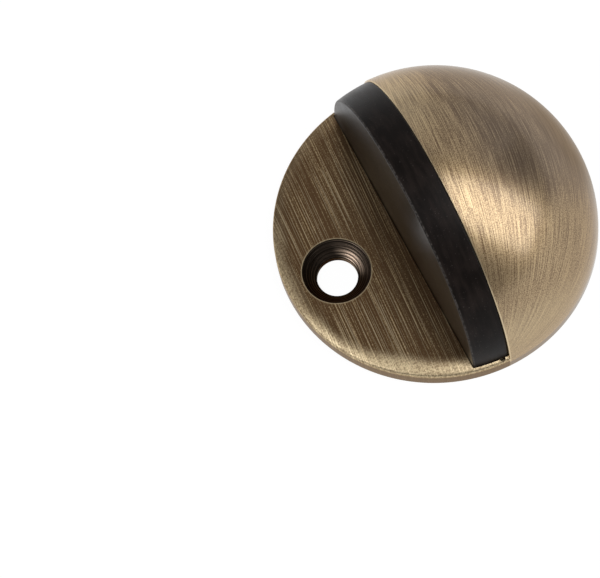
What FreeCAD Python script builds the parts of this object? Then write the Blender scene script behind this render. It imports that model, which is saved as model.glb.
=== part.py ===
import FreeCAD, Part
import math
import os

# Floor door stop, half-moon pattern, in millimetres.
# The origin is the centre of the round base, on the floor, with +Z up.
# The dome stands on the +X side and the screw ledge lies on the -X side.
# The flat face of the dome is the plane x = 0, and the rubber buffer stands against it.

# Round base and dome
base_diameter = 45.0
land_height = 1.5
floor_edge_break = 0.2
face_edge_bevel = 0.2

# Ledge that the screw holds down, with a softly rubbed-down rim
ledge_thickness = 3.0
shoulder_width = 2.4
shoulder_drop = 0.5

# Cored underside of the dome
dome_wall = 3.0
face_wall = 3.0
core_corner_bevel = 1.5

# Slot in the ledge that the buffer stands in
slot_depth = 1.2
slot_rim = 0.5
slot_clearance = 0.1
corner_relief_radius = 0.4
corner_relief_offset = 0.9

# Rubber buffer
buffer_thickness = 4.85
buffer_back_gap = 0.15
buffer_crown_rise = 0.3
buffer_front_edge_radius = 0.3
buffer_back_edge_bevel = 0.15

# Moulded studs that hold the buffer to the dome's face wall
stud_diameter = 4.0
stud_spacing = 18.0
stud_height = 10.0
stud_hole_clearance = 0.1
stud_shoulder_gap = 0.1
stud_head_diameter = 6.0
stud_tip_diameter = 3.2
stud_head_length = 2.2

# Countersunk hole for a 5 mm wood screw
hole_offset = 15.2
bore_diameter = 5.7
countersink_diameter = 9.6
countersink_angle = 90.0
countersink_lip = 0.2

# Sizes that follow from those above
base_radius = base_diameter / 2
core_radius = base_radius - dome_wall
slot_floor = ledge_thickness - slot_depth
slot_radius = base_radius - slot_rim
buffer_radius = slot_radius - slot_clearance
buffer_front = -(buffer_back_gap + buffer_thickness)
buffer_centre = land_height + base_radius + buffer_crown_rise - buffer_radius

# Length by which a cutting tool runs past the surface it cuts
overrun = 1.0

X_AXIS = FreeCAD.Vector(1, 0, 0)
Z_AXIS = FreeCAD.Vector(0, 0, 1)
ORIGIN = FreeCAD.Vector(0, 0, 0)


def at(radius, height):
    """A point of a turned profile, drawn in the XZ plane."""
    return FreeCAD.Vector(radius, 0, height)


def line(start, end):
    return Part.LineSegment(start, end).toShape()


def arc(start, middle, end):
    return Part.Arc(start, middle, end).toShape()


def turned(edges, centre=ORIGIN):
    """The solid of revolution of a closed profile about a vertical axis."""
    face = Part.Face(Part.Wire(edges))
    solid = face.revolve(ORIGIN, Z_AXIS, 360)
    solid.translate(centre)
    return solid


def rounded_corner(radius, plane, size, side):
    """The rounded edge between a crown about x = 0 and an upright plane at x, seen in plan.

    The solid lies on the given side of the plane. The points are where the rounding leaves
    the plane, its middle, and where it meets the crown."""
    centre = FreeCAD.Vector(plane + side * size, 0, 0)
    centre.y = math.sqrt((radius - size) ** 2 - centre.x ** 2)
    to_plane = FreeCAD.Vector(-side, 0, 0)
    to_crown = centre / centre.Length
    halfway = (to_plane + to_crown).normalize()
    return [centre + to_plane * size, centre + halfway * size, centre + to_crown * size]


def bevelled_corner(radius, plane, size, side):
    """The bevelled edge of the same crown and plane: where it leaves the plane and where it
    meets the crown."""
    edge = math.sqrt(radius ** 2 - plane ** 2)
    past = plane + side * size
    meet = FreeCAD.Vector(past, math.sqrt(radius ** 2 - past ** 2), 0)
    return [FreeCAD.Vector(plane, edge - size, 0), meet]


def on_crown(radius, start, end):
    """The point of a crown about the origin halfway between two others, seen in plan."""
    return (start + end).normalize() * radius


def crowned(edges, spring, bottom):
    """Turns half an outline, drawn in plan on the +Y side, over the X axis into a crown that
    springs at one height, and carries it straight down to another."""
    half = Part.Face(Part.Wire(edges))
    half.translate(at(0, spring))
    crown = half.revolve(at(0, spring), X_AXIS, 180)
    foot = half.extrude(at(0, bottom - spring))
    other_foot = foot.mirror(ORIGIN, FreeCAD.Vector(0, 1, 0))
    return crown.multiFuse([foot, other_foot]).removeSplitter()


def half_ball(radius, plane, bevel, spring, bottom):
    """The part of a ball past an upright plane, with a bevelled edge, on a straight foot."""
    leave, meet = bevelled_corner(radius, plane, bevel, 1)
    end = FreeCAD.Vector(radius, 0, 0)
    foot = FreeCAD.Vector(plane, 0, 0)
    edges = [
        line(foot, leave),
        line(leave, meet),
        arc(meet, on_crown(radius, meet, end), end),
        line(end, foot),
    ]
    return crowned(edges, spring, bottom)


def slab(low, high, bottom, top):
    """A box across the whole base, between two upright planes and two heights."""
    width = base_diameter + 2 * overrun
    box = Part.makeBox(high - low, width, top - bottom)
    box.translate(FreeCAD.Vector(low, -width / 2, bottom))
    return box


def along_x(radius, start, end, y, height):
    """A round bar that lies along X."""
    return Part.makeCylinder(radius, end - start, FreeCAD.Vector(start, y, height), X_AXIS)


def stud_places():
    return [-stud_spacing / 2, stud_spacing / 2]


def ledge():
    """The ledge's part of the round base, whose rim falls away in a soft shoulder. It reaches
    under the dome far enough to close the bevel of the dome's face."""
    rim_height = ledge_thickness - shoulder_drop
    inner = base_radius - shoulder_width
    shoulder_radius = (shoulder_width ** 2 + shoulder_drop ** 2) / (2 * shoulder_drop)
    half_width = shoulder_width / 2
    fall = shoulder_radius - math.sqrt(shoulder_radius ** 2 - half_width ** 2)
    corners = [
        at(0, ledge_thickness),
        at(0, 0),
        at(base_radius, 0),
        at(base_radius, rim_height),
    ]
    edges = [line(a, b) for a, b in zip(corners, corners[1:])]
    middle = at(inner + half_width, ledge_thickness - fall)
    edges.append(arc(corners[-1], middle, at(inner, ledge_thickness)))
    edges.append(line(at(inner, ledge_thickness), corners[0]))
    low = -base_radius - overrun
    return turned(edges).common(slab(low, face_edge_bevel, -overrun, ledge_thickness + overrun))


def half_dome():
    """The dome, cut off flat at x = 0, with its face edge slightly broken."""
    return half_ball(base_radius, 0, face_edge_bevel, land_height, 0)


def floor_break():
    """The ring that is cut away where the base meets the floor."""
    corners = [
        at(base_radius - floor_edge_break - overrun, -overrun),
        at(base_radius + overrun, -overrun),
        at(base_radius + overrun, floor_edge_break + overrun),
    ]
    corners.append(corners[0])
    return turned([line(a, b) for a, b in zip(corners, corners[1:])])


def dome_core():
    """The hollow under the dome, open to the floor."""
    return half_ball(core_radius, face_wall, core_corner_bevel, land_height, -overrun)


def buffer_slot():
    """The slot across the ledge, whose ends follow the rim."""
    disc = Part.makeCylinder(slot_radius, slot_depth + overrun, at(0, slot_floor))
    front = buffer_front - slot_clearance
    return disc.common(slab(front, 0, slot_floor - overrun, ledge_thickness + 2 * overrun))


def slot_relief(side):
    """The small round relief beside the dome at one end of the slot."""
    reach = math.sqrt(slot_radius ** 2 - corner_relief_offset ** 2)
    place = FreeCAD.Vector(-corner_relief_offset, side * reach, slot_floor)
    return Part.makeCylinder(corner_relief_radius, slot_depth + overrun, place)


def screw_hole():
    """The countersunk clearance hole through the ledge."""
    bore = bore_diameter / 2
    mouth = countersink_diameter / 2
    cone_top = ledge_thickness - countersink_lip
    cone_depth = (mouth - bore) / math.tan(math.radians(countersink_angle / 2))
    top = ledge_thickness + overrun
    corners = [
        at(0, -overrun),
        at(bore, -overrun),
        at(bore, cone_top - cone_depth),
        at(mouth, cone_top),
        at(mouth, top),
        at(0, top),
        at(0, -overrun),
    ]
    edges = [line(a, b) for a, b in zip(corners, corners[1:])]
    return turned(edges, at(-hole_offset, 0))


def stud_hole(y):
    """The hole through the face wall that one stud is pushed through."""
    radius = stud_diameter / 2 + stud_hole_clearance
    return along_x(radius, -overrun, face_wall + overrun, y, stud_height)


def brass_body():
    body = ledge().fuse(half_dome())
    tools = [dome_core(), floor_break(), buffer_slot(), slot_relief(-1), slot_relief(1), screw_hole()]
    tools += [stud_hole(y) for y in stud_places()]
    for tool in tools:
        body = body.cut(tool)
    return body.removeSplitter()


def stud(y):
    """One moulded stud: a shank through the wall, and a tapered head behind it."""
    shank_end = face_wall + stud_shoulder_gap
    shank = along_x(stud_diameter / 2, -buffer_back_gap - overrun, shank_end + overrun, y, stud_height)
    seat = FreeCAD.Vector(shank_end, y, stud_height)
    head = Part.makeCone(stud_head_diameter / 2, stud_tip_diameter / 2, stud_head_length, seat, X_AXIS)
    return shank.fuse(head)


def rubber_buffer():
    """An upright half-disc of rubber, cut to the dome's curve and a little inside it."""
    back = -buffer_back_gap
    front_corner = rounded_corner(buffer_radius, buffer_front, buffer_front_edge_radius, 1)
    back_corner = bevelled_corner(buffer_radius, back, buffer_back_edge_bevel, -1)
    crown_start = front_corner[-1]
    crown_end = back_corner[-1]
    front_foot = FreeCAD.Vector(buffer_front, 0, 0)
    back_foot = FreeCAD.Vector(back, 0, 0)
    edges = [
        line(front_foot, front_corner[0]),
        arc(*front_corner),
        arc(crown_start, on_crown(buffer_radius, crown_start, crown_end), crown_end),
        line(crown_end, back_corner[0]),
        line(back_corner[0], back_foot),
        line(back_foot, front_foot),
    ]
    buffer = crowned(edges, buffer_centre, slot_floor)
    for y in stud_places():
        buffer = buffer.fuse(stud(y))
    return buffer.removeSplitter()


def write(name, shape):
    solids = shape.Solids
    if len(solids) != 1 or not shape.isValid():
        raise RuntimeError(name + " is not one valid solid")
    solids[0].exportStep("parts/" + name + ".step")
    print(name, "volume", round(shape.Volume, 1), "mm3")


os.makedirs("parts", exist_ok=True)
write("brass_body", brass_body())
write("rubber_buffer", rubber_buffer())
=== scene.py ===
import math

import bmesh
import bpy
from mathutils import Matrix, Vector


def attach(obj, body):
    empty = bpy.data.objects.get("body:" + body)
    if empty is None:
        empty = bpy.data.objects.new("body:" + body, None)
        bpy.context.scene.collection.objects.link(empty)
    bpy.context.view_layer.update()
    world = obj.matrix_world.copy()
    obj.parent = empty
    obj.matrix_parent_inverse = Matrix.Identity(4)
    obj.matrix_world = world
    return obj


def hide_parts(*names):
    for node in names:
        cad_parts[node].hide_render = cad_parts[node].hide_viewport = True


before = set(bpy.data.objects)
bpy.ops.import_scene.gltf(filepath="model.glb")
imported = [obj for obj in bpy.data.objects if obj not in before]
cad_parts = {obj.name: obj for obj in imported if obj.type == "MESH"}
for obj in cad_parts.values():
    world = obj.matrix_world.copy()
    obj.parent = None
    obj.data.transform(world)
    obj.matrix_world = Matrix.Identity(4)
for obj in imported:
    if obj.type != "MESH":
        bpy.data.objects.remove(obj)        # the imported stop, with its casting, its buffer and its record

bl_info = {
    "name": "Half-moon floor door stop",
    "version": (1, 0, 0),
    "blender": (4, 5, 0),
    "location": "3D View > Sidebar > Door Stop",
    "description": "Builds a brushed half-moon door stop, its rubber buffer and a plain studio",
    "category": "Add Mesh",
}

MM = 0.001
X_AXIS = Vector((1, 0, 0))
Z_AXIS = Vector((0, 0, 1))
ORIGIN = Vector((0, 0, 0))
SAME_SIZE = Vector((1, 1, 1))
QUARTER_TURN = math.pi / 2
HALF_TURN = math.pi
FULL_TURN = 2 * math.pi

# Points nearer than this are one point, and slivers narrower than this are merged away
TOUCHING = 0.0001 * MM
SEAM = 0.001 * MM
SLIVER = 0.004 * MM

# How far a cutting tool runs past the surface that it cuts
OVERRUN = MM


def length(name, description, millimetres):
    """A size that the user may change, kept in metres."""
    return bpy.props.FloatProperty(
        name=name, description=description, default=millimetres * MM, unit="LENGTH", precision=5
    )


def angle(name, description, degrees):
    """An angle that the user may change, kept in radians."""
    return bpy.props.FloatProperty(
        name=name, description=description, default=math.radians(degrees), subtype="ANGLE"
    )


def colour(name, description, red, green, blue):
    """A colour that the user may change, in linear light."""
    return bpy.props.FloatVectorProperty(
        name=name, description=description, default=(red, green, blue), subtype="COLOR",
        size=3, min=0, max=1,
    )


def factor(name, description, value):
    return bpy.props.FloatProperty(
        name=name, description=description, default=value, min=0, max=1, subtype="FACTOR"
    )


def power(name, description, value):
    """The brightness of a lamp's own face, where 1 shows as white."""
    return bpy.props.FloatProperty(name=name, description=description, default=value, min=0)


def count(name, description, value):
    return bpy.props.IntProperty(name=name, description=description, default=value, min=3)


class CastingSizes(bpy.types.PropertyGroup):
    """Sizes of the brass casting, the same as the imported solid's."""

    base_diameter: length("Base diameter", "Width of the round base", 45.0)
    land_height: length("Land height", "Upright rim that the dome springs from", 1.5)
    floor_edge_break: length("Floor edge break", "Bevel where the base meets the floor", 0.2)
    face_edge_radius: length("Face edge radius", "Rounding of the edge round the flat face", 0.2)
    ledge_thickness: length("Ledge thickness", "Thickness of the screw ledge", 3.0)
    shoulder_width: length("Shoulder width", "How far in the ledge's rim is rubbed down", 2.4)
    shoulder_drop: length("Shoulder drop", "How much lower the rim is than the ledge", 0.5)
    rim_rounding: length("Rim rounding", "Rounding where the shoulder meets the rim", 0.45)
    dome_wall: length("Dome wall", "Thickness of the dome over its core", 3.0)
    face_wall: length("Face wall", "Thickness of the wall behind the buffer", 3.0)
    core_corner_radius: length("Core corner radius", "Rounding inside the core", 1.5)
    slot_floor: length("Slot floor", "Height of the floor of the buffer's slot", 1.8)
    slot_radius: length("Slot radius", "Radius of the slot's two round ends", 22.0)
    slot_front: length("Slot front", "How far in front of the flat face the slot reaches", 5.1)
    relief_radius: length("Relief radius", "Radius of the round relief at each slot end", 0.4)
    relief_offset: length("Relief offset", "Distance of each relief from the flat face", 0.9)
    stud_hole_radius: length("Stud hole radius", "Radius of the two holes for the studs", 2.1)
    hole_offset: length("Hole offset", "Distance of the screw hole from the centre", 15.2)
    bore_radius: length("Bore radius", "Radius of the screw's clearance hole", 2.85)
    mouth_radius: length("Mouth radius", "Radius of the countersink at its mouth", 4.8)
    lip_depth: length("Lip depth", "Depth of the upright lip of the countersink", 0.2)
    ring_spacing: length("Ring spacing", "Distance between the tool marks on the cone", 0.34)
    ring_depth: length("Ring depth", "Depth of the tool marks on the cone", 0.025)
    turning_steps: count("Turning steps", "Facets round the base", 288)
    dome_steps: count("Dome steps", "Facets over the dome", 180)


class BufferSizes(bpy.types.PropertyGroup):
    """Sizes of the rubber buffer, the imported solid's but for the gap behind it, which the
    rubber closes when it is pressed home."""

    radius: length("Crown radius", "Radius of the buffer's crown", 21.9)
    centre_height: length("Centre height", "Height of the middle of the crown's curve", 2.4)
    front: length("Front", "How far in front of the dome's face the buffer reaches", 5.0)
    back_gap: length("Back gap", "Gap between the buffer and the dome's face", 0.02)
    front_edge_radius: length("Front edge radius", "Rounding of the front edge", 0.3)
    back_edge_radius: length("Back edge radius", "Rounding of the back edge", 0.15)
    stud_radius: length("Stud radius", "Radius of each stud's shank", 2.0)
    stud_spacing: length("Stud spacing", "Distance between the two studs", 18.0)
    stud_height: length("Stud height", "Height of the studs over the floor", 10.0)
    stud_shoulder: length("Stud shoulder", "Where each stud's head begins, behind the face", 3.1)
    stud_head_radius: length("Stud head radius", "Radius of each head at its shoulder", 3.0)
    stud_tip_radius: length("Stud tip radius", "Radius of each head at its tip", 1.6)
    stud_head_length: length("Stud head length", "Length of each tapered head", 2.2)
    turning_steps: count("Turning steps", "Facets along the crown", 180)


class FinishColours(bpy.types.PropertyGroup):
    """Colours and gloss of the two pieces."""

    brass_dark: colour(
        "Dark grain", "The darkened bottom of the brushed grain", 0.115, 0.063, 0.027
    )
    brass_mid: colour("Brass", "The toned face of the brass", 0.48, 0.35, 0.19)
    # Worn brass, also the colour of the painted highlights on the face edge and the rim
    brass_worn_and_highlight: colour("Rubbed brass", "Where the brass is rubbed bright", 0.8, 0.66, 0.42)
    brass_tint: colour("Brass tint", "The brass seen at a glancing angle", 0.6, 0.46, 0.31)
    # Painted shade: the darker, greyer colours of the dome's far side
    far_shade_dark: colour(
        "Hazed grain", "The grain on the greyer far side of the dome", 0.1296, 0.1008, 0.07776
    )
    far_shade_light: colour(
        "Hazed brass", "The face of the greyer far side of the dome", 0.2196, 0.1708, 0.13176
    )
    cone_dark: colour("Countersink", "The dark cone of the screw hole", 0.028, 0.021, 0.016)
    # Painted highlight of the countersink near the bore
    cone_highlight_colour: colour("Rubbed cone", "Where the cone is rubbed bright", 0.672, 0.504, 0.384)
    cone_tint: colour("Cone tint", "The cone seen at a glancing angle", 0.4, 0.36, 0.32)
    cast_dark: colour("Cast pits", "The pits of the raw cast underside", 0.085, 0.065, 0.0425)
    cast_skin: colour("Cast skin", "The skin of the raw cast underside", 0.17, 0.13, 0.085)
    rubber: colour("Rubber", "The black rubber", 0.005, 0.0035, 0.003)
    rubber_rubbed: colour("Rubbed rubber", "Where the rubber is rubbed", 0.013, 0.0091, 0.0078)
    # Dust, and the painted highlight and sheen on the rubber
    rubber_dust_and_glint: colour("Dust", "Dust and scuffs on the rubber", 0.13, 0.115, 0.105)
    brass_roughness: factor("Brass roughness", "Gloss of the brushed brass", 0.33)
    rubber_roughness: factor("Rubber roughness", "Gloss of the rubber", 0.36)


class StudioSettings(bpy.types.PropertyGroup):
    """The camera, the lamps and the floor."""

    azimuth: angle("Azimuth", "Way that the camera looks in plan, 0 along +Y", -17.354)
    elevation: angle("Elevation", "Height of the camera over the horizon", 67.384)
    roll: angle("Roll", "Turn of the camera about its own line of sight", -9.613)
    distance: length("Distance", "From the camera to the point it aims at", 548.06)
    aim_x: length("Aim X", "Point on the floor that the camera aims at", -20.483)
    aim_y: length("Aim Y", "Point on the floor that the camera aims at", 1.134)
    lens: bpy.props.FloatProperty(
        name="Lens", description="Focal length for a 36 mm sensor", default=237.8, unit="CAMERA"
    )
    room_level: power("Room level", "Brightness of the plain room around", 0.33)
    right_level: power("Right lamp", "Brightness of the soft lamp on the dome's side", 3.0)
    left_level: power("Left lamp", "Brightness of the soft lamp on the ledge's side", 2.6)
    back_level: power("Back lamp", "Brightness of the soft lamp behind the stop", 0.36)
    floor_grey: factor("Floor grey", "How light the floor is to the lamps", 0.85)
    white_share: factor("White share", "How much of the floor's look is plain white", 0.92)
    white_level: power("White level", "Brightness of the floor's plain white", 1.035)


class Wire:
    """One output of a node tree, for use in plain arithmetic."""

    def __init__(self, tree, socket):
        self.tree = tree
        self.socket = socket

    def maths(self, operation, *others):
        return self.tree.maths(operation, self, *others)

    def __add__(self, other):
        return self.maths("ADD", other)

    def __radd__(self, other):
        return self.maths("ADD", other)

    def __mul__(self, other):
        return self.maths("MULTIPLY", other)

    def __rmul__(self, other):
        return self.maths("MULTIPLY", other)

    def __sub__(self, other):
        return self.maths("SUBTRACT", other)

    def __rsub__(self, other):
        return self.tree.maths("SUBTRACT", other, self)

    def __truediv__(self, other):
        return self.maths("DIVIDE", other)

    def __rtruediv__(self, other):
        return self.tree.maths("DIVIDE", other, self)

    def __pow__(self, other):
        return self.maths("POWER", other)

    def __mod__(self, other):
        return self.maths("FLOORED_MODULO", other)


class Tree:
    """A node tree under construction."""

    def __init__(self, node_tree):
        self.node_tree = node_tree

    def node(self, kind, settings=None, inputs=None, output=0):
        """Adds a node: its settings are set first, then the values or links of its sockets."""
        made = self.node_tree.nodes.new(kind)
        for name, value in (settings or {}).items():
            setattr(made, name, value)
        for key, value in (inputs or {}).items():
            if isinstance(value, Wire):
                self.node_tree.links.new(value.socket, made.inputs[key])
            else:
                made.inputs[key].default_value = value
        return Wire(self, made.outputs[output])

    def maths(self, operation, *values):
        """Adds a Math node on numbers and wires."""
        return self.node("ShaderNodeMath", {"operation": operation}, dict(enumerate(values)))

    def outputs(self, kind):
        """Adds a node that has only outputs, and gives them all."""
        return self.node(kind).socket.node.outputs


def xyz(tree, vector):
    """The three parts of a vector, as wires."""
    parts = tree.node("ShaderNodeSeparateXYZ", inputs={0: vector}).socket.node.outputs
    return [Wire(tree, socket) for socket in parts]


def vector_of(tree, x, y, z):
    return tree.node("ShaderNodeCombineXYZ", inputs={0: x, 1: y, 2: z})


def distance(a, b):
    """How far a place lies from the origin, from its two parts."""
    return (a * a + b * b) ** 0.5


def eased(value, none, full):
    """0 up to the first limit and 1 past the second, with a soft step between them. The first
    limit may be the higher one."""
    settings = {"interpolation_type": "SMOOTHSTEP"}
    inputs = {0: value, 1: none, 2: full, 3: 0.0, 4: 1.0}
    if none > full:
        inputs = {0: value, 1: full, 2: none, 3: 1.0, 4: 0.0}
    return value.tree.node("ShaderNodeMapRange", settings, inputs)


def noise(tree, vector, scale, detail=2.0, roughness=0.5):
    inputs = {"Vector": vector, "Scale": scale, "Detail": detail, "Roughness": roughness}
    return tree.node("ShaderNodeTexNoise", {"noise_dimensions": "3D"}, inputs)


def blend_colours(tree, amount, first, second):
    """The first colour at 0 and the second at 1."""
    settings = {"data_type": "RGBA", "blend_type": "MIX", "clamp_factor": True}
    return tree.node("ShaderNodeMix", settings, {0: amount, 6: first, 7: second}, output=2)


def blend_values(amount, first, second):
    return amount * (second - first) + first


def weighted(*parts, start=0.0):
    """A start value and the sum of the parts, each a wire and its weight."""
    total = start
    for wire, weight in parts:
        total = wire * weight + total
    return total


def opaque(shade):
    return tuple(shade) + (1.0,)


def new_material(name):
    """A bare material, with its tree and its shader node."""
    material = bpy.data.materials.new(name)
    material.use_nodes = True
    nodes = material.node_tree.nodes
    nodes.clear()
    tree = Tree(material.node_tree)
    shader = nodes.new("ShaderNodeBsdfPrincipled")
    output = nodes.new("ShaderNodeOutputMaterial")
    material.node_tree.links.new(shader.outputs[0], output.inputs["Surface"])
    return material, tree, shader


def connect(tree, wire, shader, name):
    tree.node_tree.links.new(wire.socket, shader.inputs[name])


def settle(shader, values):
    """Sets on the shader what is the same all over the surface."""
    for name, value in values.items():
        shader.inputs[name].default_value = value


def object_millimetres(tree):
    """The place on the piece in the part's own frame, in millimetres."""
    object_output = 3
    place = tree.node("ShaderNodeTexCoord", output=object_output)
    settings = {"operation": "SCALE"}
    return tree.node("ShaderNodeVectorMath", settings, {0: place, "Scale": 1 / MM})


def bumped(tree, height, strength, millimetres, shader):
    """Feeds a height, where 1 stands for a depth in millimetres, to the shader's normal."""
    inputs = {"Height": height, "Strength": strength, "Distance": millimetres * MM}
    connect(tree, tree.node("ShaderNodeBump", inputs=inputs), shader, "Normal")


# Zones of the casting's finish, each from where it begins to where it is full, in millimetres
LEDGE_X = (-0.01, -0.03)
RUBBED_RIM_RADIUS = (21.2, 23.5)
# The rim widens at the front as a painted highlight and fades at its upper end as painted shade
RIM_LIT_FRONT_Y = (-4.0, -17.0)
RIM_SHADED_END_Y = (12.5, 5.5)
FRONT_FOOT_REACH = (11.0, 18.0)
# Painted highlight along the dome's face edge
FACE_EDGE_GLINT_X = (0.28, 0.1)
# Painted shade on the dome's far side and far rim
FAR_SIDE_SHADE_X = (2.5, 11.0)
FAR_SIDE_SHADE_Y = (-13.0, -4.0)
FAR_RIM_SHADE_X = (15.0, 19.5)
FAR_RIM_SHADE_Y = (-9.0, -3.0)
NEAR_FACE_X = (7.0, 1.0)
NEAR_FACE_Y = (2.0, 13.0)
HOLE_LIP = (0.22, 0.05)
WALL_RADIUS = (22.2, 22.42)
WALL_FALL = (0.0, -0.35)
DOME_WALL_TOP = 1.75
LEDGE_WALL_TOP = 2.2

# Zones of the countersink's finish, and of the buffer's
# Painted highlight on the countersink, towards the buffer and near the bore
CONE_HIGHLIGHT_SIDE = (2.6, 4.2)
NEAR_BORE_HIGHLIGHT_RADIUS = (4.3, 3.4)
# Painted highlight along the buffer's front edge
FRONT_EDGE_GLINT = (0.34, 0.14)
FRONT_EDGE_GLINT_CROWN = (21.1, 21.6)
FRONT_FACE = (0.06, 0.01)
# Dust and a painted sheen at the buffer's upper end
DUST_AND_SHEEN_END_Y = (17.0, 21.8)
DULL_END_Y = (0.0, 16.0)

# The middle of every noise, which leaves a finish as it is
MIDDLE = 0.5


def strokes(tree, across, along, seed, per_millimetre, changes, detail=0.0):
    """Soft strokes: so many in a millimetre across, and so many changes in one along."""
    drawn_out = vector_of(tree, across * per_millimetre, along * changes, seed)
    return noise(tree, drawn_out, scale=1.0, detail=detail)


def broad_strokes(tree, across, along, seed):
    return strokes(tree, across, along, seed, per_millimetre=1.1, changes=0.04, detail=1.0)


def scratch_lines(tree, across, along, seed, per_millimetre, drift):
    """Straight scratches of one width, each with its own depth, that fade in and out. They
    drift sideways a little along their way."""
    place = across + along * drift
    lane = (place * per_millimetre).maths("FLOOR")
    settings = {"noise_dimensions": "2D"}
    inputs = {"Vector": vector_of(tree, lane, seed, 0.0)}
    depth = tree.node("ShaderNodeTexWhiteNoise", settings, inputs)
    fade = strokes(tree, place, along, seed, per_millimetre=2.5, changes=0.09, detail=1.0)
    return (depth - MIDDLE) * eased(fade, 0.38, 0.6) + MIDDLE


def ledge_grain(tree, across, along, seed):
    """Long straight strokes: crisp scratches over fine and faint broad ones."""
    crisp = scratch_lines(tree, across, along, seed, per_millimetre=11.3, drift=0.012)
    crossing = scratch_lines(tree, across, along, seed + 5.0, per_millimetre=8.2, drift=-0.02)
    fine = strokes(tree, across, along, seed, per_millimetre=11.0, changes=0.05)
    broad = broad_strokes(tree, across, along, seed + 13.0)
    return weighted((crisp, 0.3), (crossing, 0.2), (fine, 0.42), (broad, 0.08))


def dome_grain(tree, across, along, seed):
    """Shorter and softer strokes, close together."""
    hair = strokes(tree, across, along, seed + 3.0, per_millimetre=10.0, changes=0.22)
    fine = strokes(tree, across, along, seed, per_millimetre=6.0, changes=0.12)
    broad = broad_strokes(tree, across, along, seed + 13.0)
    return weighted((hair, 0.58), (fine, 0.34), (broad, 0.08))


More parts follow.
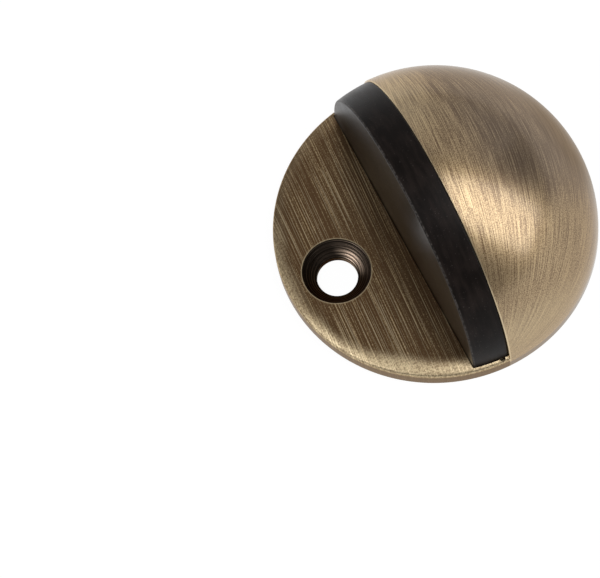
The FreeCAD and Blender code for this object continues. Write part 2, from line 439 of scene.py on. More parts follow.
def brushed_brass(colours, sizes):
    """Antique brass: dark in the brushed grain, and bright at the rims from wear and from painted
    highlights, with painted shade on the dome's far side.
    """
    material, tree, shader = new_material("brushed_antique_brass")
    place = object_millimetres(tree)
    x, y, z = xyz(tree, place)
    radius = distance(x, y)
    on_ledge = eased(x, *LEDGE_X)
    on_dome = 1.0 - on_ledge

    # On the ledge the strokes run along the buffer, a few degrees off
    slant = math.radians(-3.6)
    ledge_across = x * math.cos(slant) + y * math.sin(slant)
    ledge_strokes = ledge_grain(tree, ledge_across, y, seed=3.0)

    # On the dome they run over it from end to end, like the lines of a globe laid on its side
    lean = math.radians(7.1)
    level = x * math.cos(lean) - y * math.sin(lean)
    lengthwise = x * math.sin(lean) + y * math.cos(lean)
    turn = level.maths("ARCTAN2", z - sizes.land_height / MM)
    around = turn * (sizes.base_diameter / 2 / MM)
    dome_strokes = dome_grain(tree, around, lengthwise, seed=11.0)
    grain = blend_values(on_ledge, dome_strokes, ledge_strokes)

    # The rubbed rim of the ledge has a sandy grain among the strokes. It is widest in patches, widened
    # further at the front as a painted highlight, and kept faint at the buffer's upper end as painted shade
    patches = noise(tree, place, scale=0.18, detail=1.0)
    front = eased(y, *RIM_LIT_FRONT_Y)
    reach = weighted((patches, 1.6), (front, 1.1), start=radius)
    faint = 0.25
    rim = eased(reach, *RUBBED_RIM_RADIUS) * on_ledge
    rim = rim * blend_values(eased(y, *RIM_SHADED_END_Y), faint, 1.0)
    sand = noise(tree, place, scale=4.0, roughness=0.7)
    sand_share = 0.4
    grain = blend_values(rim * sand_share, grain, sand)

    # The dome is lighter at its front foot and near its face, a painted highlight brightens its face edge,
    # and painted shade makes its far side darker and greyer
    foot_reach = weighted((y, -1.0), (z, -0.55))
    front_foot = eased(foot_reach, *FRONT_FOOT_REACH) * on_dome
    face_edge_glint = eased(x, *FACE_EDGE_GLINT_X) * on_dome
    near_face = eased(x, *NEAR_FACE_X) * eased(y, *NEAR_FACE_Y) * on_dome
    far_side_painted_shade = eased(x, *FAR_SIDE_SHADE_X) * eased(y, *FAR_SIDE_SHADE_Y) * on_dome
    far_rim_painted_shade = eased(x, *FAR_RIM_SHADE_X) * eased(y, *FAR_RIM_SHADE_Y) * on_dome

    # The tone follows the grain, more strongly in some zones, with a fine speckle, and painted shade
    # darkens the dome's far side and far rim
    contrast = weighted((on_ledge, 0.4), (near_face, 0.2), start=0.52)
    lightness = weighted((on_ledge, -0.085), (far_side_painted_shade, -0.075), (far_rim_painted_shade, -0.06), start=0.515)
    speckle = noise(tree, place, scale=7.5, detail=0.0)
    tone = weighted((grain - MIDDLE, contrast), (speckle - MIDDLE, 0.28), start=lightness)
    toned = eased(tone, 0.38, 0.65) ** (on_ledge + 1.0)
    shade = blend_colours(tree, toned, opaque(colours.brass_dark), opaque(colours.brass_mid))
    # Painted shade: the far side and far rim take darker, greyer colours that keep the grain
    far_shade_grain = eased(grain, 0.38, 0.62)
    far_shade_colour = blend_colours(tree, far_shade_grain, opaque(colours.far_shade_dark), opaque(colours.far_shade_light))
    shade = blend_colours(tree, weighted((far_side_painted_shade, 0.4), (far_rim_painted_shade, 0.45)), shade, far_shade_colour)

    # The lip of the screw hole is lighter, and a few long scratches are bare
    from_mouth = distance(x + sizes.hole_offset / MM, y) - sizes.mouth_radius / MM
    lip = eased(from_mouth, *HOLE_LIP) * on_ledge
    scratches = strokes(tree, ledge_across, y, 51.0, per_millimetre=12.0, changes=0.05)
    bare = eased(scratches, 0.64, 0.7) * on_ledge
    # The rim's bright sand: real wear, brightest at the front as a painted highlight
    rim_sand_and_highlight = rim * blend_values(eased(sand, 0.35, 0.6), 0.22, 0.62)
    # Wear, the lighter zones, and the painted highlights of the face edge and the rim all take the bright
    # brass
    wear_and_highlights = weighted(
        (near_face, 0.24), (front_foot, 0.2), (face_edge_glint, 0.5), (lip, 0.4), (bare, 0.4),
        start=rim_sand_and_highlight,
    )
    shade = blend_colours(tree, wear_and_highlights, shade, opaque(colours.brass_worn_and_highlight))

    # The upright rim under the shoulder is darker again
    wall_top = blend_values(on_ledge, DOME_WALL_TOP, LEDGE_WALL_TOP)
    wall = eased(z - wall_top, *WALL_FALL) * eased(radius, *WALL_RADIUS)
    wall_tone = 0.85
    shade = blend_colours(tree, wall * wall_tone, shade, opaque(colours.brass_dark))
    connect(tree, shade, shader, "Base Color")

    gloss = weighted((grain - MIDDLE, -0.06), (rim, 0.08), start=colours.brass_roughness)
    connect(tree, gloss, shader, "Roughness")
    lacquer = weighted((on_dome, 0.5), (wall, 0.3), (far_rim_painted_shade, -0.35), start=0.2)
    connect(tree, lacquer, shader, "Coat Weight")
    settle(shader, {
        "Metallic": 1.0,
        "Specular Tint": opaque(colours.brass_tint),
        "Coat Roughness": 0.21,
        "Coat IOR": 1.6,
    })
    bumped(tree, grain, 0.05, 0.06, shader)
    return material


def turned_brass(colours, sizes):
    """The countersink: dark toned brass with the rings that the tool left, and a painted highlight near the
    bore on the side of the buffer."""
    material, tree, shader = new_material("turned_countersink_brass")
    x, y, z = xyz(tree, object_millimetres(tree))
    offset = x + sizes.hole_offset / MM
    radius = distance(offset, y)
    rings_per_millimetre = 6.0
    rings = noise(
        tree, vector_of(tree, radius * rings_per_millimetre, z * rings_per_millimetre, 0.0),
        scale=1.0, detail=3.0, roughness=0.6,
    )
    # Painted highlight: lighter towards the buffer's side and near the bore
    side = weighted((offset, 0.94), (y, 0.34), (rings, 1.2))
    cone_highlight_side = eased(side, *CONE_HIGHLIGHT_SIDE)
    near_bore_highlight = eased(radius, *NEAR_BORE_HIGHLIGHT_RADIUS)
    toned = eased(weighted((cone_highlight_side * near_bore_highlight, 0.12), start=rings), 0.46, 0.64)
    rubbed = weighted((near_bore_highlight, 0.75), start=0.2)
    amount = toned * weighted((cone_highlight_side, rubbed), start=0.05)
    shade = blend_colours(tree, amount, opaque(colours.cone_dark), opaque(colours.cone_highlight_colour))
    connect(tree, shade, shader, "Base Color")
    connect(tree, weighted((rings, 0.2), start=0.24), shader, "Roughness")
    settle(shader, {"Metallic": 1.0, "Specular Tint": opaque(colours.cone_tint)})
    bumped(tree, rings, 0.5, 0.04, shader)
    return material


def cast_brass(colours):
    """The underside and the core: raw, slightly pitted casting skin."""
    material, tree, shader = new_material("cast_brass_underside")
    place = object_millimetres(tree)
    pits = noise(tree, place, scale=2.4, detail=4.0, roughness=0.65)
    clouds = noise(tree, place, scale=0.3)
    toned = eased(weighted((pits, 0.6), (clouds, 0.4)), 0.35, 0.65)
    shade = blend_colours(tree, toned, opaque(colours.cast_dark), opaque(colours.cast_skin))
    connect(tree, shade, shader, "Base Color")
    connect(tree, weighted((pits, 0.25), start=0.5), shader, "Roughness")
    settle(shader, {"Metallic": 0.9})
    bumped(tree, pits, 0.6, 0.15, shader)
    return material


def moulded_rubber(colours, sizes):
    """Black rubber: a fine moulded grain, a little dust, faint rubbing marks, and a painted highlight and
    sheen.
    """
    material, tree, shader = new_material("moulded_black_rubber")
    place = object_millimetres(tree)
    x, y, z = xyz(tree, place)
    grain = noise(tree, place, scale=7.0, detail=3.0, roughness=0.6)
    clouds = noise(tree, place, scale=0.25)
    specks = eased(noise(tree, place, scale=9.0, detail=0.0), 0.8, 0.86)
    rubs_through, rubs_along = 1.6, 0.25
    rubbing = vector_of(tree, x * rubs_through, y * rubs_along, z * rubs_along)
    rubs = noise(tree, rubbing, scale=1.0)
    rubbed = eased(weighted((clouds, 0.5), (rubs, 0.5)), 0.4, 0.7)
    shade = blend_colours(tree, rubbed, opaque(colours.rubber), opaque(colours.rubber_rubbed))

    # A painted highlight, broken by scuffs, runs along the front edge of the crown, and the upper end is
    # paler with dust and a painted sheen
    crown = distance(y, z - sizes.centre_height / MM)
    from_front = x + sizes.front / MM
    edge = eased(from_front, *FRONT_EDGE_GLINT) * eased(crown, *FRONT_EDGE_GLINT_CROWN)
    scuffs = noise(tree, place, scale=3.0, detail=3.0, roughness=0.7)
    dust_and_sheen_end = eased(y, *DUST_AND_SHEEN_END_Y) * blend_values(eased(scuffs, 0.3, 0.55), 0.2, 0.8)
    scuffed_edge_glint = edge * eased(scuffs, 0.35, 0.65)
    dust_and_glint = weighted((scuffed_edge_glint, 1.0), (specks, 0.6), start=dust_and_sheen_end)
    shade = blend_colours(tree, dust_and_glint, shade, opaque(colours.rubber_dust_and_glint))
    connect(tree, shade, shader, "Base Color")
    gloss = weighted((rubs - MIDDLE, 0.2), start=colours.rubber_roughness)
    connect(tree, gloss, shader, "Roughness")

    # The smooth front face mirrors a little, and less towards its upper end
    face = eased(from_front, *FRONT_FACE)
    connect(tree, face * blend_values(eased(y, *DULL_END_Y), 0.45, 0.15), shader, "Coat Weight")
    settle(shader, {"Coat Roughness": 0.3, "Coat IOR": 1.8, "Specular IOR Level": 0.08})
    bumped(tree, grain, 0.25, 0.04, shader)
    return material


def studio_white(studio):
    """A white floor: white to the camera and to gloss, and a plain diffuse floor to the light.
    It can't be seen from below."""
    material, tree, shader = new_material("studio_white")
    settle(shader, {
        "Base Color": opaque([studio.floor_grey] * 3),
        "Roughness": 1.0,
        "Specular IOR Level": 0.0,
    })
    path = tree.outputs("ShaderNodeLightPath")
    seen = Wire(tree, path["Is Camera Ray"]).maths("MAXIMUM", Wire(tree, path["Is Glossy Ray"]))
    seen = seen.maths("MAXIMUM", Wire(tree, path["Is Transmission Ray"]))
    glow = {"Color": (1, 1, 1, 1), "Strength": studio.white_level}
    white = tree.node("ShaderNodeEmission", inputs=glow)
    plain = Wire(tree, shader.outputs[0])
    mixing = {0: seen * studio.white_share, 1: plain, 2: white}
    shown = tree.node("ShaderNodeMixShader", inputs=mixing)
    clear = tree.node("ShaderNodeBsdfTransparent")
    under = Wire(tree, tree.outputs("ShaderNodeNewGeometry")["Backfacing"])
    surface = tree.node("ShaderNodeMixShader", inputs={0: under, 1: shown, 2: clear})
    output = next(n for n in tree.node_tree.nodes if n.type == "OUTPUT_MATERIAL")
    tree.node_tree.links.new(surface.socket, output.inputs["Surface"])
    return material


def arc(centre, radius, start, end, steps):
    """Points of a round stretch of a profile, from one angle to the other, in radians."""
    points = []
    for i in range(steps + 1):
        turn = start + (end - start) * i / steps
        points.append((centre[0] + radius * math.cos(turn), centre[1] + radius * math.sin(turn)))
    return points


def turning_tree():
    """The node tree that turns a profile about an axis, with tool rings where it is tooled."""
    group = bpy.data.node_groups.new("Turned form", "GeometryNodeTree")
    face = group.interface
    face.new_socket(name="Profile", in_out="INPUT", socket_type="NodeSocketGeometry")
    kinds = {
        "Axis": "NodeSocketVector",
        "Centre": "NodeSocketVector",
        "Start": "NodeSocketFloat",
        "Sweep": "NodeSocketFloat",
        "Steps": "NodeSocketInt",
        "Ring Spacing": "NodeSocketFloat",
        "Ring Depth": "NodeSocketFloat",
        "Material": "NodeSocketMaterial",
    }
    for name, kind in kinds.items():
        face.new_socket(name=name, in_out="INPUT", socket_type=kind)
    face.new_socket(name="Form", in_out="OUTPUT", socket_type="NodeSocketGeometry")

    tree = Tree(group)
    source = tree.outputs("NodeGroupInput")
    given = {socket.name: Wire(tree, socket) for socket in source if socket.name}
    profile = given["Profile"]
    rows = tree.node("GeometryNodeAttributeDomainSize", {"component": "MESH"}, {0: profile})
    columns = given["Steps"] + 1
    grid = tree.node(
        "GeometryNodeMeshGrid", inputs={"Vertices X": columns, "Vertices Y": rows}
    )
    index = tree.node("GeometryNodeInputIndex")
    row = index % rows
    column = ((index - row) / rows).maths("ROUND")
    here = tree.node("GeometryNodeInputPosition")
    sampled = tree.node(
        "GeometryNodeSampleIndex", {"data_type": "FLOAT_VECTOR"},
        {"Geometry": profile, "Value": here, "Index": row},
    )
    marks = tree.node(
        "GeometryNodeInputNamedAttribute", {"data_type": "FLOAT"}, {"Name": "tooled"}
    )
    tooled = tree.node(
        "GeometryNodeSampleIndex", {"data_type": "FLOAT"},
        {"Geometry": profile, "Value": marks, "Index": row},
    )
    x, y, z = xyz(tree, sampled)
    wave = (z * FULL_TURN / given["Ring Spacing"]).maths("SINE")
    cut = vector_of(tree, x + wave * given["Ring Depth"] * tooled, y, z)
    turn = given["Start"] + given["Sweep"] * column / given["Steps"]
    spun = tree.node(
        "ShaderNodeVectorRotate", {"rotation_type": "AXIS_ANGLE"},
        {"Vector": cut, "Center": given["Centre"], "Axis": given["Axis"], "Angle": turn},
    )
    formed = tree.node("GeometryNodeSetPosition", inputs={"Geometry": grid, "Position": spun})
    merging = {"Geometry": formed, "Distance": SEAM}
    closed = tree.node("GeometryNodeMergeByDistance", inputs=merging)
    plain = tree.node("GeometryNodeRealizeInstances", inputs={"Geometry": closed})
    dressed = tree.node(
        "GeometryNodeSetMaterial", inputs={"Geometry": plain, "Material": given["Material"]}
    )
    target = group.nodes.new("NodeGroupOutput")
    group.links.new(dressed.socket, target.inputs["Form"])
    return group


def shared_turning_tree():
    return bpy.data.node_groups.get("Turned form") or turning_tree()


def turned(name, profile, material, steps, axis=Z_AXIS, centre=ORIGIN, start=0.0,
           sweep=FULL_TURN, tooled=(), ring_spacing=1.0, ring_depth=0.0):
    """Turns a profile into an object. A profile point is a radius and a height about the
    Z axis, or a place along X and a radius about the X axis."""
    mesh = bpy.data.meshes.new(name)
    if axis == X_AXIS:
        points = [centre + Vector((a, b, 0)) for a, b in profile]
    else:
        points = [centre + Vector((a, 0, b)) for a, b in profile]
    mesh.from_pydata(points, [(i, i + 1) for i in range(len(points) - 1)], [])
    marks = mesh.attributes.new("tooled", "FLOAT", "POINT")
    for i in tooled:
        marks.data[i].value = 1.0
    piece = bpy.data.objects.new(name, mesh)
    bpy.context.scene.collection.objects.link(piece)
    group = shared_turning_tree()
    modifier = piece.modifiers.new("Turned form", "NODES")
    modifier.node_group = group
    values = {
        "Axis": axis,
        "Centre": centre,
        "Start": start,
        "Sweep": sweep,
        "Steps": steps,
        "Ring Spacing": ring_spacing,
        "Ring Depth": ring_depth,
        "Material": material,
    }
    for item in group.interface.items_tree:
        if item.in_out == "INPUT" and item.name in values:
            modifier[item.identifier] = values[item.name]
    make_plain(piece)
    return piece


def make_plain(piece):
    """Puts the result of the modifiers into the mesh, and removes them."""
    piece.update_tag()
    graph = bpy.context.evaluated_depsgraph_get()
    made = bpy.data.meshes.new_from_object(piece.evaluated_get(graph))
    piece.modifiers.clear()
    old = piece.data
    piece.data = made
    bpy.data.meshes.remove(old)


def outward(piece):
    """Merges the seam and the poles, and points every face outwards."""
    form = bmesh.new()
    form.from_mesh(piece.data)
    bmesh.ops.remove_doubles(form, verts=form.verts, dist=TOUCHING)
    bmesh.ops.recalc_face_normals(form, faces=form.faces)
    form.to_mesh(piece.data)
    form.free()


def carry_down(piece, steps):
    """Carries the open edge of a half-turned form through steps, each a move and a scale, and
    closes it."""
    form = bmesh.new()
    form.from_mesh(piece.data)
    bmesh.ops.remove_doubles(form, verts=form.verts, dist=TOUCHING)
    for move, scale in steps:
        rim = [edge for edge in form.edges if edge.is_boundary]
        made = bmesh.ops.extrude_edge_only(form, edges=rim)
        for vertex in made["geom"]:
            if isinstance(vertex, bmesh.types.BMVert):
                vertex.co = Vector(a * b for a, b in zip(vertex.co, scale)) + move
    rim = [edge for edge in form.edges if edge.is_boundary]
    bmesh.ops.holes_fill(form, edges=rim, sides=0)
    bmesh.ops.recalc_face_normals(form, faces=form.faces)
    form.to_mesh(piece.data)
    form.free()


def combine(piece, other, operation):
    """Joins another closed form to a piece, or cuts it out, and removes the other form."""
    modifier = piece.modifiers.new(operation, "BOOLEAN")
    modifier.object = other
    modifier.operation = operation
    modifier.solver = "EXACT"
    make_plain(piece)
    spare = other.data
    bpy.data.objects.remove(other)
    bpy.data.meshes.remove(spare)


def tidy_mesh(piece):
    """Merges the hair-thin slivers that cutting leaves."""
    form = bmesh.new()
    form.from_mesh(piece.data)
    bmesh.ops.remove_doubles(form, verts=form.verts, dist=SLIVER)
    bmesh.ops.dissolve_degenerate(form, edges=form.edges, dist=SLIVER)
    form.to_mesh(piece.data)
    form.free()


def corner_on_sphere(radius, plane, corner, side):
    """The rounding between a sphere about x = 0 and an upright plane, as the middle of its arc
    and the angle at which it leaves the sphere. The solid lies on the given side of the plane."""
    middle_x = plane + side * corner
    middle_radius = math.sqrt((radius - corner) ** 2 - middle_x ** 2)
    return (middle_x, middle_radius), math.atan2(middle_radius, middle_x)


def half_dome_profile(radius, plane, corner, steps):
    """From the dome's end at +X over its crown to the middle of its flat face."""
    middle, leave = corner_on_sphere(radius, plane, corner, 1)
    points = arc((0, 0), radius, 0, leave, steps)
    points += arc(middle, corner, leave, HALF_TURN, steps=6)[1:]
    points.append((plane, 0))
    return points


def half_dome(name, radius, plane, corner, spring, foot, material, steps, floor_break=0.0):
    """A half dome that springs from an upright wall, closed at its foot."""
    profile = half_dome_profile(radius, plane, corner, steps // 2)
    centre = Vector((0, 0, spring))
    dome = turned(name, profile, material, steps, X_AXIS, centre, 0.0, HALF_TURN)
    down = [(Vector((0, 0, foot + floor_break - spring)), SAME_SIZE)]
    if floor_break:
        small = 1 - floor_break / radius
        down.append((Vector((0, 0, -floor_break)), Vector((small, small, 1))))
    carry_down(dome, down)
    return dome


def ledge(sizes, material):
    """The ledge's half of the base, with its rubbed-down rim, carried a little way into the
    dome so that the two join."""
    radius = sizes.base_diameter / 2
    top = sizes.ledge_thickness
    inner = radius - sizes.shoulder_width
    shoulder = (sizes.shoulder_width ** 2 + sizes.shoulder_drop ** 2) / (2 * sizes.shoulder_drop)
    hub = (inner, top - shoulder)
    rounding = sizes.rim_rounding
    leave = math.acos((radius - rounding - inner) / (shoulder - rounding))
    turning = (radius - rounding, hub[1] + (shoulder - rounding) * math.sin(leave))
    flat_ring = 0.3 * MM
    foot_ring = 0.05 * MM
    foot = sizes.floor_edge_break
    profile = [(0, top), (inner - flat_ring, top)]
    profile += arc(hub, shoulder, QUARTER_TURN, leave, steps=16)
    profile += arc(turning, rounding, leave, 0, steps=8)[1:]
    profile += [(radius, foot + foot_ring), (radius, foot), (radius - foot, 0), (0, 0)]
    steps = sizes.turning_steps // 2
    plate = turned("ledge", profile, material, steps, start=QUARTER_TURN, sweep=HALF_TURN)
    into_dome = 0.8 * MM
    inset = 0.97
    lift = top / 2 * (1 - inset)
    carry_down(plate, [
        (Vector((sizes.face_edge_radius, 0, 0)), SAME_SIZE),
        (Vector((into_dome, 0, lift)), Vector((1, inset, inset))),
    ])
    return plate


def slot_tool(sizes, material):
    """The form of the buffer's slot, whose ends follow the rim. It reaches a hair past the
    dome's flat face, which then closes it."""
    reach = sizes.slot_radius
    front = sizes.slot_front
    steps = 12
    turn = math.asin(front / reach)
    hair = 0.05 * MM
    past_face = math.asin(hair / reach)
    left = arc((0, 0), reach, QUARTER_TURN - past_face, QUARTER_TURN + turn, steps)
    right = arc((0, 0), reach, -QUARTER_TURN - turn, -QUARTER_TURN + past_face, steps)
    return prism("slot", left + right, sizes.slot_floor, 2 * sizes.ledge_thickness, material)


def prism(name, outline, bottom, top, material):
    """An upright form with the given outline in plan."""
    form = bmesh.new()
    base = [form.verts.new((a, b, bottom)) for a, b in outline]
    face = form.faces.new(base)
    made = bmesh.ops.extrude_face_region(form, geom=[face])
    for vertex in made["geom"]:
        if isinstance(vertex, bmesh.types.BMVert):
            vertex.co.z = top
    bmesh.ops.recalc_face_normals(form, faces=form.faces)
    mesh = bpy.data.meshes.new(name)
    form.to_mesh(mesh)
    form.free()
    mesh.materials.append(material)
    piece = bpy.data.objects.new(name, mesh)
    bpy.context.scene.collection.objects.link(piece)
    return piece


def bar(name, radius, start, end, y, height, material, steps=48):
    """A round bar that lies along X."""
    profile = [(start, 0), (start, radius), (end, radius), (end, 0)]
    made = turned(name, profile, material, steps, X_AXIS, Vector((0, y, height)))
    outward(made)
    return made


def screw_hole_tool(sizes, material):
    """The form of the countersunk hole, with the rings of the tool on its cone."""
    bore = sizes.bore_radius
    mouth = sizes.mouth_radius
    cone_top = sizes.ledge_thickness - sizes.lip_depth
    cone_foot = cone_top - (mouth - bore)
    cone_steps = 72
    profile = [(0, -OVERRUN), (bore, -OVERRUN), (bore, cone_foot)]
    first = len(profile)
    for i in range(1, cone_steps):
        share = i / cone_steps
        profile.append((bore + (mouth - bore) * share, cone_foot + (mouth - bore) * share))
    tooled = range(first, len(profile))
    past_top = sizes.ledge_thickness + OVERRUN
    profile += [(mouth, cone_top), (mouth, past_top), (0, past_top)]
    tool = turned(
        "screw_hole", profile, material, steps=144, tooled=tooled,
        ring_spacing=sizes.ring_spacing, ring_depth=sizes.ring_depth,
    )
    outward(tool)
    tool.data.transform(Matrix.Translation((-sizes.hole_offset, 0, 0)))
    return tool


def sharpen(piece, degrees):
    """Smooth shading, with a hard edge wherever two faces meet at more than this angle."""
    for polygon in piece.data.polygons:
        polygon.use_smooth = True
    piece.data.set_sharp_from_angle(angle=math.radians(degrees))


def settings_of(context):
    scene = context.scene
    return scene.stop_casting, scene.stop_buffer, scene.stop_finish, scene.stop_studio


class MakeCasting(bpy.types.Operator):
    """Builds the brass casting: base, ledge and half dome in one piece"""

    bl_idname = "door_stop.casting"
    bl_label = "Brass casting"

    def execute(self, context):
        sizes, buffer, colours, _ = settings_of(context)
        outside = brushed_brass(colours, sizes)
        countersink = turned_brass(colours, sizes)
        inside = cast_brass(colours)
        radius = sizes.base_diameter / 2
        plate = ledge(sizes, outside)
        combine(plate, slot_tool(sizes, outside), "DIFFERENCE")
        along = math.sqrt(sizes.slot_radius ** 2 - sizes.relief_offset ** 2)
        for side in (-1, 1):
            middle = (-sizes.relief_offset, side * along)
            outline = arc(middle, sizes.relief_radius, 0, FULL_TURN, steps=24)[:-1]
            relief = prism(
                "relief", outline, sizes.slot_floor, 2 * sizes.ledge_thickness, outside
            )
            combine(plate, relief, "DIFFERENCE")
        combine(plate, screw_hole_tool(sizes, countersink), "DIFFERENCE")
        body = half_dome(
            "brass_casting", radius, 0.0, sizes.face_edge_radius, sizes.land_height, 0.0,
            outside, sizes.dome_steps, sizes.floor_edge_break,
        )
        combine(body, plate, "UNION")
        for side in (-1, 1):
            hole = bar(
                "stud_hole", sizes.stud_hole_radius, -OVERRUN, sizes.face_wall + OVERRUN,
                side * buffer.stud_spacing / 2, buffer.stud_height, inside,
            )
            combine(body, hole, "DIFFERENCE")
        core = half_dome(
            "core", radius - sizes.dome_wall, sizes.face_wall, sizes.core_corner_radius,
            sizes.land_height, -OVERRUN, inside, steps=96,
        )
        combine(body, core, "DIFFERENCE")
        tidy_mesh(body)
        paint_regions(body, sizes, outside, countersink, inside)
        sharpen(body, degrees=24)
        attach(body, "root")
        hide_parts("brass_body")
        return {"FINISHED"}


def paint_regions(body, sizes, outside, countersink, inside):
    """Gives the hole, and the underside with the core, their own finish."""
    mesh = body.data
    mesh.materials.clear()
    for material in (outside, countersink, inside):
        mesh.materials.append(material)
    tiny = 0.01 * MM
    square_on = -0.99
    skin_radius = (sizes.base_diameter - sizes.dome_wall) / 2
    for face in mesh.polygons:
        centre = face.center
        from_hole = math.hypot(centre.x + sizes.hole_offset, centre.y)
        below_top = centre.z < sizes.ledge_thickness - tiny
        in_hole = from_hole < sizes.mouth_radius + tiny and below_top
        under = centre.z < tiny
        height = max(centre.z - sizes.land_height, 0)
        from_middle = math.sqrt(centre.x ** 2 + centre.y ** 2 + height ** 2)
        in_face = face.normal.x < square_on and centre.x < sizes.face_wall / 2
        in_core = centre.x > tiny and from_middle < skin_radius and not in_face
        face.material_index = 2 if under or in_core else 1 if in_hole else 0


class MakeBuffer(bpy.types.Operator):
    """Builds the rubber buffer with its two studs"""

    bl_idname = "door_stop.buffer"
    bl_label = "Rubber buffer"

    def execute(self, context):
        casting, sizes, colours, _ = settings_of(context)
        rubber = moulded_rubber(colours, sizes)
        front_middle, front_leave = corner_on_sphere(
            sizes.radius, -sizes.front, sizes.front_edge_radius, 1
        )
        back_middle, back_leave = corner_on_sphere(
            sizes.radius, -sizes.back_gap, sizes.back_edge_radius, -1
        )
        profile = [(-sizes.front, 0)]
        profile += arc(front_middle, sizes.front_edge_radius, HALF_TURN, front_leave, steps=6)
        profile += arc((0, 0), sizes.radius, front_leave, back_leave, steps=20)[1:]
        profile += arc(back_middle, sizes.back_edge_radius, back_leave, 0, steps=5)[1:]
        profile.append((-sizes.back_gap, 0))
        centre = Vector((0, 0, sizes.centre_height))
        pad = turned(
            "rubber_pad", profile, rubber, sizes.turning_steps, X_AXIS, centre, 0.0, HALF_TURN
        )
        drop = casting.slot_floor - sizes.centre_height
        carry_down(pad, [(Vector((0, 0, drop)), SAME_SIZE)])
        for side in (-1, 1):
            combine(pad, stud(sizes, side, rubber), "UNION")
        sharpen(pad, degrees=30)
        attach(pad, "root")
        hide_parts("rubber_buffer")
        return {"FINISHED"}


def stud(sizes, side, material):
    """One moulded stud: a shank and a tapered head."""
    inside_pad = -sizes.back_gap - OVERRUN
    profile = [
        (inside_pad, 0),
        (inside_pad, sizes.stud_radius),
        (sizes.stud_shoulder, sizes.stud_radius),
        (sizes.stud_shoulder, sizes.stud_head_radius),
        (sizes.stud_shoulder + sizes.stud_head_length, sizes.stud_tip_radius),
        (sizes.stud_shoulder + sizes.stud_head_length, 0),
    ]
    place = Vector((0, side * sizes.stud_spacing / 2, sizes.stud_height))
    made = turned("stud", profile, material, 48, axis=X_AXIS, centre=place)
    outward(made)
    return made


class MakeStudio(bpy.types.Operator):
    """Builds the floor, the lamps, the room and the camera"""

    bl_idname = "door_stop.studio"
    bl_label = "Studio"

    def execute(self, context):
        _, _, _, studio = settings_of(context)
        build_floor(studio)
        build_room(context, studio)
        build_lamps(studio)
        build_camera(context, studio)
        return {"FINISHED"}


def build_floor(studio):
    """A wide white floor that curves up into a low wall all round. It lies a hair under the
    stop, so that the two never share a plane."""
    reach = 3.0
    curve = 0.15
    wall = 0.25
    under = -0.03 * MM
    profile = [(0, under), (reach, under)]
    profile += arc((reach, under + curve), curve, -QUARTER_TURN, 0, steps=12)[1:]
    profile.append((reach + curve, wall))
    floor = turned("studio_floor", profile, studio_white(studio), steps=96)
    form = bmesh.new()
    form.from_mesh(floor.data)
    bmesh.ops.recalc_face_normals(form, faces=form.faces)
    if min(form.faces, key=lambda f: f.calc_center_median().length).normal.z < 0:
        bmesh.ops.reverse_faces(form, faces=form.faces)
    form.to_mesh(floor.data)
    form.free()
    sharpen(floor, degrees=30)


def build_room(context, studio):
    world = bpy.data.worlds.new("plain_room")
    world.use_nodes = True
    background = world.node_tree.nodes["Background"]
    background.inputs["Color"].default_value = (1, 1, 1, 1)
    background.inputs["Strength"].default_value = studio.room_level
    context.scene.world = world
    context.scene.view_settings.view_transform = "Standard"


def soft_lamp(name, level, direction, away, width, height):
    """A rectangular lamp that faces the stop from a direction, so many metres away."""
    lamp = bpy.data.lights.new(name, "AREA")
    lamp.shape = "RECTANGLE"
    lamp.size = width
    lamp.size_y = height
    lamp.energy = level * width * height * math.pi
    place = bpy.data.objects.new(name, lamp)
    way = Vector(direction).normalized()
    place.location = way * away
    place.rotation_mode = "QUATERNION"
    place.rotation_quaternion = way.to_track_quat("Z", "Y")
    bpy.context.scene.collection.objects.link(place)


def build_lamps(studio):
    soft_lamp(
        "right_softbox", studio.right_level,
        direction=(0.525, -0.39, 0.755), away=1.2, width=0.74, height=1.85,
    )
    soft_lamp(
        "left_softbox", studio.left_level,
        direction=(-0.64, -0.05, 0.75), away=1.2, width=0.6, height=0.8,
    )
    soft_lamp(
        "back_softbox", studio.back_level,
        direction=(0.45, 0.68, 0.58), away=1.3, width=2.0, height=1.3,
    )


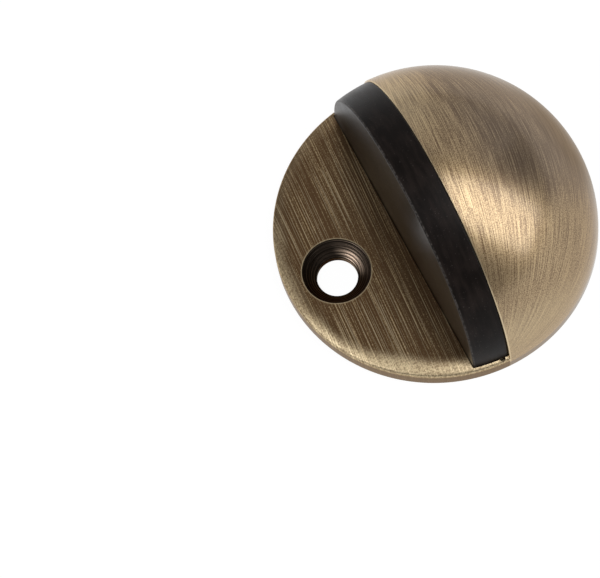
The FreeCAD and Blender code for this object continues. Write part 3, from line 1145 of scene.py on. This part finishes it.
def build_camera(context, studio):
    """The camera stands off the stop by the azimuth, the elevation and the distance."""
    level = math.cos(studio.elevation)
    back = Vector((
        math.sin(studio.azimuth) * level,
        -math.cos(studio.azimuth) * level,
        math.sin(studio.elevation),
    ))
    flat_right = Vector((math.cos(studio.azimuth), math.sin(studio.azimuth), 0))
    flat_up = back.cross(flat_right)
    right = flat_right * math.cos(studio.roll) + flat_up * math.sin(studio.roll)
    up = back.cross(right)
    data = bpy.data.cameras.new("camera")
    data.lens = studio.lens
    data.clip_start = 0.01
    data.clip_end = 20
    camera = bpy.data.objects.new("camera", data)
    place = Vector((studio.aim_x, studio.aim_y, 0)) + back * studio.distance
    turned_to = Matrix((right, up, back)).transposed().to_4x4()
    camera.matrix_world = Matrix.Translation(place) @ turned_to
    context.scene.collection.objects.link(camera)
    context.scene.camera = camera


class DoorStopPanel(bpy.types.Panel):
    """Lists the steps that build the door stop"""

    bl_idname = "VIEW3D_PT_door_stop"
    bl_label = "Door Stop"
    bl_space_type = "VIEW_3D"
    bl_region_type = "UI"
    bl_category = "Door Stop"

    def draw(self, context):
        for operator in OPERATORS:
            self.layout.operator(operator.bl_idname)
        for settings in settings_of(context):
            box = self.layout.box()
            for name in settings.__annotations__:
                box.prop(settings, name)


OPERATORS = (MakeCasting, MakeBuffer, MakeStudio)
GROUPS = {
    "stop_casting": CastingSizes,
    "stop_buffer": BufferSizes,
    "stop_finish": FinishColours,
    "stop_studio": StudioSettings,
}


def register():
    for group in GROUPS.values():
        bpy.utils.register_class(group)
    for name, group in GROUPS.items():
        setattr(bpy.types.Scene, name, bpy.props.PointerProperty(type=group))
    for shown in OPERATORS + (DoorStopPanel,):
        bpy.utils.register_class(shown)


def unregister():
    for shown in reversed(OPERATORS + (DoorStopPanel,)):
        bpy.utils.unregister_class(shown)
    for name in GROUPS:
        delattr(bpy.types.Scene, name)
    for group in reversed(GROUPS.values()):
        bpy.utils.unregister_class(group)


def main():
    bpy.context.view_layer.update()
    register()
    bpy.ops.door_stop.casting()
    bpy.ops.door_stop.buffer()
    bpy.ops.door_stop.studio()


if __name__ == "__main__":
    main()
